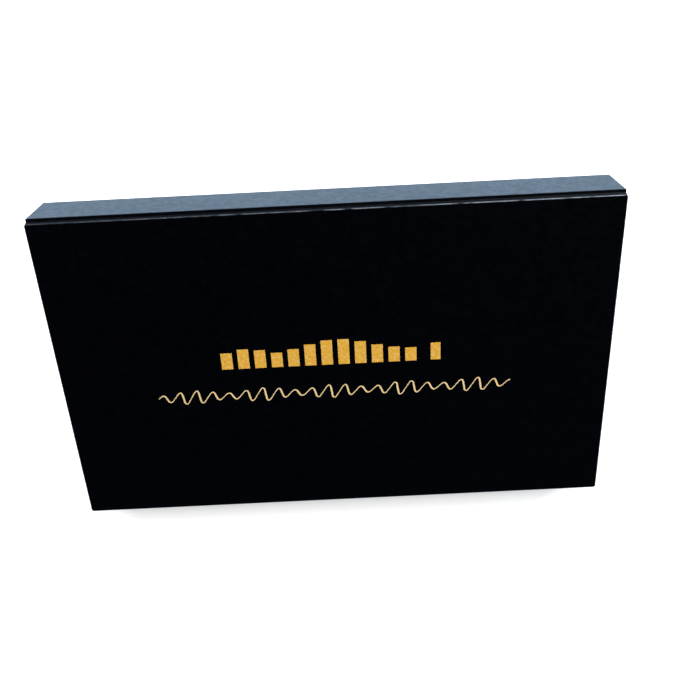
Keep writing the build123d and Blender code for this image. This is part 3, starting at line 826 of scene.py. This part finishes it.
def softened(node: str, name: str, radius: float, segments: int = 3) -> Piece:
    """A copy of a CAD node's shape whose sharp edges are rounded, as cut foam is.

    Args:
        node: the CAD node that the copy stands for.
        name: the copy's name.
        radius: radius of the rounding.
        segments: steps of the rounding.

    Returns:
        The piece, which replaces the node.
    """
    bm = bmesh.new()
    bm.from_mesh(frame["nodes"][node].data)
    bmesh.ops.remove_doubles(bm, verts=bm.verts, dist=WELD)
    bmesh.ops.dissolve_limit(bm, angle_limit=FLAT_TURN, verts=bm.verts, edges=bm.edges)
    sharp = [e for e in bm.edges if len(e.link_faces) == 2 and e.calc_face_angle(0.0) > SHARP_TURN]
    bmesh.ops.bevel(bm, geom=sharp, offset=radius, segments=segments, profile=0.5,
                    affect="EDGES", clamp_overlap=True)
    mesh = mesh_from(bm, name)
    smooth_by_area(mesh)
    piece = new_piece(name, mesh)
    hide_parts(node)
    return piece


def ribbon(name: str, route: Sequence[Span], x_span: Span, thickness: float,
           stations: int = 90, wander: float = 0.0) -> Piece:
    """A strip of paper: a route in the YZ plane, carried along X.

    Args:
        name: the piece's name.
        route: its points (y, z), in metres.
        x_span: where it starts and ends along X.
        thickness: thickness of the paper.
        stations: steps along X.
        wander: how far a point may stray, so that the paper isn't dead straight.

    Returns:
        The piece, with its thickness in the mesh.
    """
    chance = random.Random(SEED)
    bm = bmesh.new()
    rows = []
    for i in range(stations + 1):
        x = x_span[0] + (x_span[1] - x_span[0]) * i / stations
        stray = wander * (sin(i * RIPPLE_STEP) * 0.5 + chance.uniform(-0.5, 0.5))
        rows.append([bm.verts.new((x, y, z + stray)) for y, z in route])
    for left, right in zip(rows, rows[1:]):
        for j in range(len(route) - 1):
            bm.faces.new((left[j], right[j], right[j + 1], left[j + 1]))
    bmesh.ops.recalc_face_normals(bm, faces=bm.faces)
    bmesh.ops.solidify(bm, geom=bm.faces[:], thickness=thickness)
    mesh = mesh_from(bm, name)
    smooth_by_angle(mesh, angle=60.0)
    return new_piece(name, mesh)


def rounded_route(corners: Sequence[Span], radius: float, steps: int = 5) -> list[Span]:
    """Round the inner corners of an open line of (y, z) points with short curves.

    Args:
        corners: the line's corners.
        radius: how far before and after a corner its curve starts and ends.
        steps: points per curve.

    Returns:
        The rounded line.
    """
    points = [Vector(c) for c in corners]
    line = [points[0]]
    for before, corner, after in zip(points, points[1:], points[2:]):
        start = corner + (before - corner).normalized() * min(radius, (before - corner).length / 2)
        end = corner + (after - corner).normalized() * min(radius, (after - corner).length / 2)
        for k in range(steps + 1):
            u = k / steps
            line.append(start * (1 - u) ** 2 + corner * 2 * u * (1 - u) + end * u**2)
    line.append(points[-1])
    return [(p.x, p.y) for p in line]


# ---------------------------------------------------------------------------
# sub-assemblies
# ---------------------------------------------------------------------------
class Assembly:
    """A group of pieces that are built and dressed together."""

    def build(self) -> None:
        """Make the pieces and dress them."""
        raise NotImplementedError


@dataclass
class Creases(Assembly):
    """The two folds of wrapping paper that the cover and the flap turn on."""

    thickness: float = 0.13 * MM
    climb: float = 1.7 * MM
    gap: float = 0.06 * MM
    bend: float = 0.35 * MM
    spine_reach: float = 0.5 * MM
    flap_reach: float = 0.7 * MM
    wander: float = 0.02 * MM

    def build(self) -> None:
        """Make both strips."""
        joints = {j["name"]: Vector(j["pos_m"]) for j in frame["joints"] if "pos_m" in j}
        self.lid_strip(joints["lid_hinge"])
        self.flap_strip(joints["flap_hinge"])

    def lid_strip(self, axis: Vector) -> None:
        """The strip from the spine's upper edge to the cover's back edge.

        Args:
            axis: a point on the lid's hinge line.
        """
        lid_low, lid_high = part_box("lid_wrap")
        low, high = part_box("spine_board")
        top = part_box("case_wrap")[1].z
        edge_y = lid_high.y + self.gap
        floor_z = top + self.gap
        route = rounded_route(
            [(axis.y + self.spine_reach, floor_z), (edge_y, floor_z), (edge_y, lid_low.z + self.climb)],
            self.bend)
        strip = ribbon("lid_crease_paper", route, (low.x, high.x), self.thickness, wander=self.wander)
        paint(strip, Looks.FOLD.value)
        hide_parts("lid_crease")
        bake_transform(strip)

    def flap_strip(self, axis: Vector) -> None:
        """The strip from the cover's front edge to the flap's upper edge.

        Args:
            axis: a point on the flap's hinge line.
        """
        lid_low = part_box("lid_wrap")[0]
        low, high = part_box("flap_board")
        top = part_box("flap_wrap")[1].z
        edge_y = lid_low.y - self.gap
        floor_z = top + self.gap
        route = rounded_route(
            [(edge_y, lid_low.z + self.climb), (edge_y, floor_z), (axis.y - self.flap_reach, floor_z)],
            self.bend)
        strip = ribbon("flap_crease_paper", route, (low.x, high.x), self.thickness, wander=self.wander)
        paint(strip, Looks.FOLD.value)
        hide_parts("flap_crease")
        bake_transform(strip)


@dataclass
class FoamBed(Assembly):
    cut_radius: float = 0.45 * MM
    pad_radius: float = 0.8 * MM
    fill: float = 0.95

    def build(self) -> None:
        """Round the cut edges of each layer and of the pad."""
        for node in ("foam_base", "foam_middle", "foam_top"):
            self.layer(node, f"{node}_cut", self.cut_radius, "case")
        self.layer("lid_pad", "lid_pad_foam", self.pad_radius, "lid")

    def layer(self, node: str, name: str, radius: float, body: str) -> None:
        """Replace one foam node and let it ride on its body.

        Args:
            node: the foam's CAD node.
            name: the new piece's name.
            radius: radius of its cut edges.
            body: the body it rides on.
        """
        piece = softened(node, name, radius)
        paint(piece, Looks.FOAM.value)
        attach(piece, body)


@dataclass
class PaperSeams(Assembly):
    """Ends of wrapping paper lapped over each other at the tray's corners."""

    lap: float = 13.0 * MM
    clear_share: float = 0.03
    thickness: float = 0.12 * MM
    foot_gap: float = 0.1 * MM
    rim_gap: float = 0.3 * MM
    rounding: float = 0.05 * MM

    def build(self) -> None:
        """Lay two lapped ends on each end wall, one beside each corner."""
        low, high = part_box("tray_wrap")
        for end, x in (("left", low.x), ("right", high.x)):
            out = self.thickness if x > 0 else -self.thickness
            for side, y, step in (("front", low.y, self.lap), ("back", high.y, -self.lap)):
                near, far = y + step * self.clear_share, y + step
                a = Vector((min(x, x + out), min(near, far), low.z + self.foot_gap))
                b = Vector((max(x, x + out), max(near, far), high.z - self.rim_gap))
                piece = slab(f"tray_lap_{end}_{side}", a, b, self.rounding)
                paint(piece, Looks.WRAP.value)
                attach(piece, "case")


@dataclass
class Analyzer(Assembly):
    """The handheld instrument's glass, with its display field, and the printed marks on its shell."""

    border: float = 3.5 * MM
    ink: float = 0.03 * MM
    ink_rounding: float = 0.3
    rim_step: float = 1.0 * MM
    tick: Span = (3.2 * MM, 0.7 * MM)
    tick_pitch: float = 1.6 * MM
    line_width: float = 0.45 * MM
    knob_line: float = 4.0 * MM
    lever_line: float = 5.0 * MM
    dot: float = 0.7 * MM
    dot_gap: float = 0.9 * MM

    def build(self) -> None:
        """Dress the glass from the size of the display behind it, and print the marks."""
        low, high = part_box("display_module")
        inset = Vector((self.border, self.border, 0.0))
        finish = Lens("cover_lens", (0.0022, 0.0024, 0.003), roughness=0.04,
                      field_low=tuple(low + inset), field_high=tuple(high - inset))
        paint(frame["nodes"]["display_window"], finish)
        self.port_ticks()
        self.control_marks()

    def mark(self, name: str, x: float, y: float, length: float, width: float) -> None:
        """Print one bar of ink on the front of the shell.

        Args:
            name: the mark's name.
            x: its middle along X.
            y: its middle along Y.
            length: its size along X.
            width: its size along Y.
        """
        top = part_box("front_shell")[1].z
        low = Vector((x - length / 2, y - width / 2, top))
        piece = slab(name, low, low + Vector((length, width, self.ink)), self.ink * self.ink_rounding)
        paint(piece, Looks.INK.value)
        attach(piece, "case")

    def port_ticks(self) -> None:
        """One tick beside the first port and two beside the second."""
        low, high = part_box("port_jacks")
        rim = (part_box("front_shell")[0].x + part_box("display_window")[0].x) / 2 - self.rim_step
        reach = (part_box("jack_nuts")[1].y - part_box("jack_nuts")[0].y) / 2
        half = reach - (high.y - low.y) / 2
        for port, y in enumerate((high.y - half, low.y + half), 1):
            for step in range(port):
                offset = (step - (port - 1) / 2) * self.tick_pitch
                self.mark(f"port_mark_{port}_{step + 1}", rim, y + offset, *self.tick)

    def control_marks(self) -> None:
        """A line beside the power knob, and a line with a dot at each end beside the jog lever."""
        rim = (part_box("front_shell")[1].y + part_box("display_window")[1].y) / 2 + self.rim_step
        for node, length in (("power_knob", self.knob_line), ("jog_lever", self.lever_line)):
            low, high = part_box(node)
            middle = (low.x + high.x) / 2
            self.mark(f"{node}_mark", middle, rim, length, self.line_width)
            if node == "jog_lever":
                for side in (-1, 1):
                    end = middle + side * (length / 2 + self.dot_gap)
                    self.mark(f"{node}_end_{side + 1}", end, rim, self.dot, self.dot)


# ---------------------------------------------------------------------------
# studio
# ---------------------------------------------------------------------------
@dataclass(frozen=True)
class Softbox:
    """A rectangular studio light."""

    name: str
    place: Triple
    size: Span
    power: float
    colour: Colour
    aim: Triple = (0.0, 0.0, 0.0)
    mirrored: bool = True

    def build(self) -> None:
        """Hang the light and aim it."""
        data = bpy.data.lights.new(self.name, "AREA")
        data.shape = "RECTANGLE"
        data.size, data.size_y = self.size
        data.energy = self.power
        data.color = self.colour
        light = bpy.data.objects.new(self.name, data)
        light.visible_glossy = self.mirrored
        bpy.context.scene.collection.objects.link(light)
        light.location = self.place
        aim = Vector(self.aim) - Vector(self.place)
        light.rotation_euler = aim.to_track_quat("-Z", "Y").to_euler()


LIGHTS = (
    Softbox("high_back", place=(0.0, 1.15, 1.05), size=(1.5, 0.7), power=41.0,
            colour=(1.0, 0.99, 0.97), mirrored=False),
    Softbox("edge", place=(0.85, 1.15, 0.5), size=(0.35, 0.25), power=14.0,
            colour=(0.9, 0.96, 1.0), aim=(0.1, 0.05, 0.0)),
    Softbox("left", place=(-1.1, 0.75, 0.7), size=(0.5, 0.5), power=1.5,
            colour=(1.0, 0.98, 0.95)),
    Softbox("right", place=(1.1, 0.6, 0.6), size=(0.5, 0.5), power=2.8,
            colour=(0.6, 0.8, 1.0), aim=(0.1, 0.1, 0.0)),
)


@dataclass
class Studio(Assembly):
    """Floor and surroundings that are white to the camera only, soft lights, and the camera."""

    floor_size: float = 6.0
    floor_drop: float = 0.0002
    floor_roughness: float = 0.9
    floor_mirror: float = 0.1
    seen_floor: Colour = (0.9, 0.9, 0.9)
    seen_glow: float = 0.7
    cast_tint: Colour = (0.50, 0.70, 0.95)
    cast_glow: float = 1.2
    seen_sky: Colour = (0.95, 0.95, 0.95)
    cast_sky: Colour = (0.8, 0.9, 1.0)
    sky_heights: Span = (0.1, 0.45)
    horizon: float = 0.4
    zenith: float = 0.0
    lean: float = 26.998
    pan: float = 0.254
    roll: float = -2.817
    offset: Triple = (-6.71 * MM, 8.42 * MM, 364.06 * MM)
    lens: float = 41.23
    sensor: float = 36.0
    nearest: float = 0.01

    def build(self) -> None:
        """Set up everything around the object."""
        self.floor()
        self.surroundings()
        for light in LIGHTS:
            light.build()
        self.camera()
        bpy.context.scene.view_settings.view_transform = "Standard"

    def floor(self) -> None:
        """A plain floor: near white to the camera, and pale blue in the light that it casts."""
        bm = bmesh.new()
        bmesh.ops.create_grid(bm, x_segments=1, y_segments=1, size=self.floor_size / 2)
        piece = new_piece("floor", mesh_from(bm, "floor"))
        piece.location.z = -self.floor_drop
        made = bpy.data.materials.new("floor")
        made.use_nodes = True
        t = Tree(made.node_tree)
        shader = made.node_tree.nodes["Principled BSDF"]
        shader.inputs["Roughness"].default_value = self.floor_roughness
        shader.inputs["Specular IOR Level"].default_value = self.floor_mirror
        seen = t.add("ShaderNodeLightPath").outputs["Is Camera Ray"]
        tint = t.blend(seen, solid(self.cast_tint), solid(self.seen_floor))
        t.feed(shader.inputs["Base Color"], tint)
        t.feed(shader.inputs["Emission Color"], tint)
        glow = t.spread(seen, WHOLE, (self.cast_glow, self.seen_glow))
        t.feed(shader.inputs["Emission Strength"], glow)
        piece.data.materials.append(made)

    def surroundings(self) -> None:
        """White to the camera; to every other ray pale at the horizon and dark overhead."""
        world = bpy.data.worlds.new("studio")
        world.use_nodes = True
        world.node_tree.nodes.clear()
        t = Tree(world.node_tree)
        seen = t.add("ShaderNodeBackground", Color=solid(self.seen_sky), Strength=1.0)
        direction = t.add("ShaderNodeTexCoord").outputs["Generated"]
        height = t.add("ShaderNodeSeparateXYZ", Vector=direction).outputs[2]
        fall = t.spread(height, self.sky_heights, (self.horizon, self.zenith))
        unseen = t.add("ShaderNodeBackground", Color=solid(self.cast_sky), Strength=fall)
        mixed = t.add("ShaderNodeMixShader")
        t.feed(mixed.inputs[0], t.add("ShaderNodeLightPath").outputs["Is Camera Ray"])
        t.feed(mixed.inputs[1], unseen.outputs[0])
        t.feed(mixed.inputs[2], seen.outputs[0])
        t.add("ShaderNodeOutputWorld", Surface=mixed.outputs[0])
        bpy.context.scene.world = world

    def camera(self) -> None:
        """Above the cover, leaning towards the spine, with the spine at the top of the picture."""
        turn = (Matrix.Rotation(radians(self.roll), 3, "Z") @ Matrix.Rotation(radians(self.pan), 3, "Y")
                @ Matrix.Rotation(radians(self.lean), 3, "X"))
        flip = Matrix.Diagonal((1.0, -1.0, -1.0))
        view = turn @ flip
        focus = Vector((0.0, 0.0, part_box("lid_wrap")[1].z))
        data = bpy.data.cameras.new("camera")
        data.lens = self.lens
        data.sensor_width = self.sensor
        data.clip_start = self.nearest
        camera = bpy.data.objects.new("camera", data)
        bpy.context.scene.collection.objects.link(camera)
        camera.matrix_world = (flip @ view).transposed().to_4x4()
        camera.location = focus - view.transposed() @ Vector(self.offset)
        bpy.context.scene.camera = camera


def dress_cad() -> None:
    """Give every CAD node that keeps its shape its finish; the glass is dressed with the analyzer."""
    for look, nodes in CAD_LOOKS.items():
        for node in nodes:
            paint(frame["nodes"][node], look.value)
            log.info("dressed %s with %s", node, look.value.name)


def main() -> None:
    """Dress the CAD pieces, set up the studio and make the rest."""
    logging.basicConfig(level=logging.INFO, format="%(name)s: %(message)s")
    dress_cad()
    for assembly in (Studio(), Creases(), FoamBed(), PaperSeams(), Analyzer()):
        assembly.build()
        log.info("built %s", type(assembly).__name__.lower())


if __name__ == "__main__":
    main()
